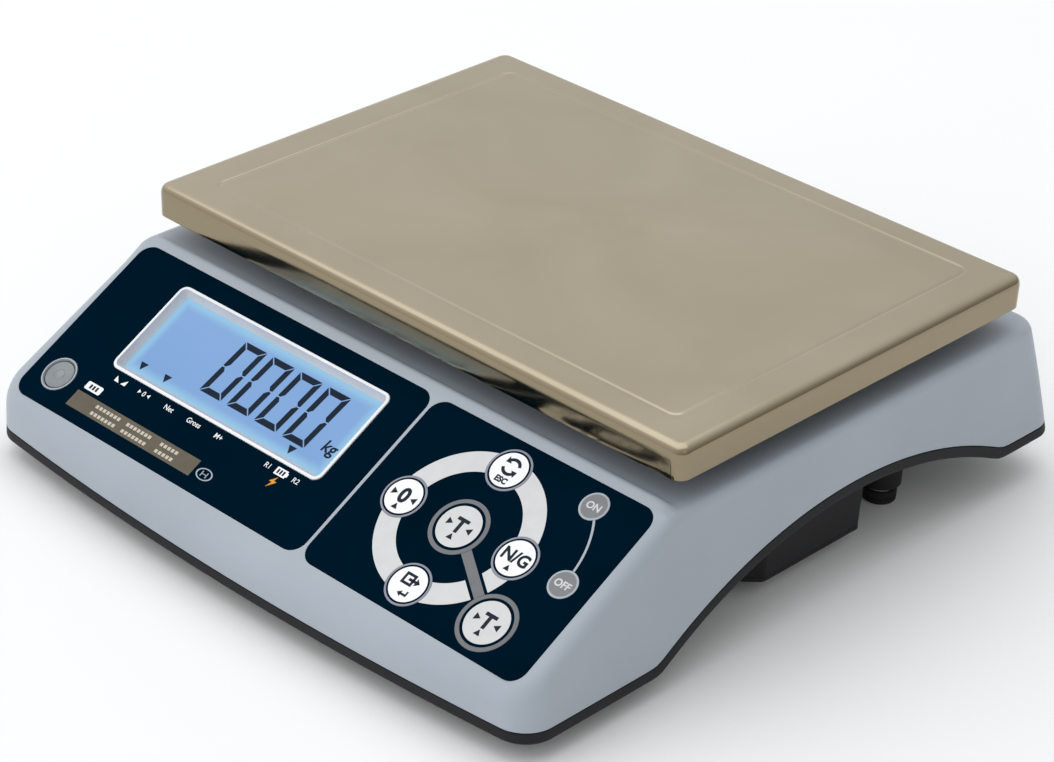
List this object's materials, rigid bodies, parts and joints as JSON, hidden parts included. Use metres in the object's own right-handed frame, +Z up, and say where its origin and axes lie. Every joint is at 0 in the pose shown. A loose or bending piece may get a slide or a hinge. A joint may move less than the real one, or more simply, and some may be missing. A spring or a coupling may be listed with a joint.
{
  "type": "bench weighing scale",
  "caption": "Compact bench weighing scale with a flat steel pan on a load cell, a sloped front panel with display and keys, levelling feet and an arched underside.",
  "frame": {"origin": "on the surface it stands on, under the middle of the object's box", "axes": "+X to the operator's right, +Y away from the operator, +Z up"},
  "size_m": [0.32, 0.338, 0.102],
  "materials": {
    "housing_plastic": "fine moulded texture",
    "base_plastic": "fine moulded texture",
    "pan_steel": "satin brushed",
    "cast_aluminium": "as cast and milled",
    "zinc_steel": "bright zinc plated",
    "foot_rubber": "matt",
    "overlay_film": "satin printed film",
    "bezel_plastic": "satin",
    "lcd_glass": "polished",
    "diffuser_plastic": "milky",
    "level_window": "polished",
    "white_key": "satin printed film",
    "grey_key": "satin printed film",
    "dark_key": "satin printed film",
    "black_plastic": "moulded",
    "circuit_board": "solder resist",
    "battery_case": "moulded"
  },
  "bodies": {
    "base": {"top_housing": "housing_plastic", "base_housing": "base_plastic", "load_cell": "cast_aluminium", "cell_spacer_base": "cast_aluminium", "cell_bolt_base_1": "zinc_steel", "cell_bolt_base_2": "zinc_steel", "overload_stop_front_left": "zinc_steel", "overload_stop_front_right": "zinc_steel", "overload_stop_rear_left": "zinc_steel", "overload_stop_rear_right": "zinc_steel", "housing_screw_front_left": "zinc_steel", "housing_screw_front_right": "zinc_steel", "housing_screw_rear_left": "zinc_steel", "housing_screw_rear_right": "zinc_steel", "display_overlay": "overlay_film", "keypad_overlay": "overlay_film", "lcd_bezel": "bezel_plastic", "level_ring": "bezel_plastic", "lcd_glass": "lcd_glass", "lcd_backlight": "diffuser_plastic", "level_vial": "level_window", "switch_zero": "black_plastic", "switch_escape": "black_plastic", "switch_net_gross": "black_plastic", "switch_print": "black_plastic", "switch_tare_centre": "black_plastic", "switch_tare_lower": "black_plastic", "switch_on": "black_plastic", "switch_off": "black_plastic", "dc_inlet": "black_plastic", "display_board": "circuit_board", "keypad_board": "circuit_board", "main_board": "circuit_board", "battery": "battery_case"},
    "load_carrier": {"pan_support": "cast_aluminium", "cell_spacer_pan": "cast_aluminium", "cell_bolt_pan_1": "zinc_steel", "cell_bolt_pan_2": "zinc_steel", "pan_pad_front_left": "foot_rubber", "pan_pad_front_right": "foot_rubber", "pan_pad_rear_left": "foot_rubber", "pan_pad_rear_right": "foot_rubber"},
    "pan": {"weighing_pan": "pan_steel"},
    "key_zero": {"key_zero": "white_key"},
    "key_escape": {"key_escape": "white_key"},
    "key_net_gross": {"key_net_gross": "white_key"},
    "key_print": {"key_print": "white_key"},
    "key_tare_centre": {"key_tare_centre": "grey_key"},
    "key_tare_lower": {"key_tare_lower": "grey_key"},
    "key_on": {"key_on": "dark_key"},
    "key_off": {"key_off": "dark_key"},
    "foot_pad_front_left": {"foot_pad_front_left": "foot_rubber"},
    "foot_screw_front_left": {"foot_screw_front_left": "zinc_steel"},
    "foot_pad_front_right": {"foot_pad_front_right": "foot_rubber"},
    "foot_screw_front_right": {"foot_screw_front_right": "zinc_steel"},
    "foot_pad_rear_left": {"foot_pad_rear_left": "foot_rubber"},
    "foot_screw_rear_left": {"foot_screw_rear_left": "zinc_steel"},
    "foot_pad_rear_right": {"foot_pad_rear_right": "foot_rubber"},
    "foot_screw_rear_right": {"foot_screw_rear_right": "zinc_steel"},
    "battery_cover": {"battery_cover": "base_plastic"}
  },
  "joints": [
    {"name": "load_deflection", "type": "slide", "parent": "base", "child": "load_carrier", "axis": [0, 0, 1], "range_m": [-0.00025, 0], "stiffness_N_per_m": 150000, "springref_m": 0.00005},
    {"name": "pan_lift", "type": "slide", "parent": "load_carrier", "child": "pan", "axis": [0, 0, 1], "range_m": [0, 0.06]},
    {"name": "battery_cover_slide", "type": "slide", "parent": "base", "child": "battery_cover", "axis": [-1, 0, 0], "range_m": [0, 0.112]},
    {"name": "zero_press", "type": "slide", "parent": "base", "child": "key_zero", "axis": [0, 0.4924, -0.8704], "range_m": [0, 0.0004], "stiffness_N_per_m": 300},
    {"name": "escape_press", "type": "slide", "parent": "base", "child": "key_escape", "axis": [0, 0.4924, -0.8704], "range_m": [0, 0.0004], "stiffness_N_per_m": 300},
    {"name": "net_gross_press", "type": "slide", "parent": "base", "child": "key_net_gross", "axis": [0, 0.4924, -0.8704], "range_m": [0, 0.0004], "stiffness_N_per_m": 300},
    {"name": "print_press", "type": "slide", "parent": "base", "child": "key_print", "axis": [0, 0.4924, -0.8704], "range_m": [0, 0.0004], "stiffness_N_per_m": 300},
    {"name": "tare_centre_press", "type": "slide", "parent": "base", "child": "key_tare_centre", "axis": [0, 0.4924, -0.8704], "range_m": [0, 0.0004], "stiffness_N_per_m": 300},
    {"name": "tare_lower_press", "type": "slide", "parent": "base", "child": "key_tare_lower", "axis": [0, 0.4924, -0.8704], "range_m": [0, 0.0004], "stiffness_N_per_m": 300},
    {"name": "on_press", "type": "slide", "parent": "base", "child": "key_on", "axis": [0, 0.4924, -0.8704], "range_m": [0, 0.0004], "stiffness_N_per_m": 300},
    {"name": "off_press", "type": "slide", "parent": "base", "child": "key_off", "axis": [0, 0.4924, -0.8704], "range_m": [0, 0.0004], "stiffness_N_per_m": 300},
    {"name": "foot_extend_front_left", "type": "slide", "parent": "base", "child": "foot_pad_front_left", "axis": [0, 0, -1], "range_m": [0, 0.005]},
    {"name": "foot_turn_front_left", "type": "hinge", "parent": "foot_pad_front_left", "child": "foot_screw_front_left", "pos_m": [-0.128, -0.135, 0.0065], "axis": [0, 0, 1], "range_deg": [0, 1440]},
    {"name": "foot_extend_front_right", "type": "slide", "parent": "base", "child": "foot_pad_front_right", "axis": [0, 0, -1], "range_m": [0, 0.005]},
    {"name": "foot_turn_front_right", "type": "hinge", "parent": "foot_pad_front_right", "child": "foot_screw_front_right", "pos_m": [0.128, -0.135, 0.0065], "axis": [0, 0, 1], "range_deg": [0, 1440]},
    {"name": "foot_extend_rear_left", "type": "slide", "parent": "base", "child": "foot_pad_rear_left", "axis": [0, 0, -1], "range_m": [0, 0.005]},
    {"name": "foot_turn_rear_left", "type": "hinge", "parent": "foot_pad_rear_left", "child": "foot_screw_rear_left", "pos_m": [-0.1243, 0.092, 0.0065], "axis": [0, 0, 1], "range_deg": [0, 1440]},
    {"name": "foot_extend_rear_right", "type": "slide", "parent": "base", "child": "foot_pad_rear_right", "axis": [0, 0, -1], "range_m": [0, 0.005]},
    {"name": "foot_turn_rear_right", "type": "hinge", "parent": "foot_pad_rear_right", "child": "foot_screw_rear_right", "pos_m": [0.1243, 0.092, 0.0065], "axis": [0, 0, 1], "range_deg": [0, 1440]}
  ],
  "couplings": [
    {"joint": "foot_turn_front_left", "follows": "foot_extend_front_left", "rad_per_m": 5026.5},
    {"joint": "foot_turn_front_right", "follows": "foot_extend_front_right", "rad_per_m": 5026.5},
    {"joint": "foot_turn_rear_left", "follows": "foot_extend_rear_left", "rad_per_m": 5026.5},
    {"joint": "foot_turn_rear_right", "follows": "foot_extend_rear_right", "rad_per_m": 5026.5}
  ]
}
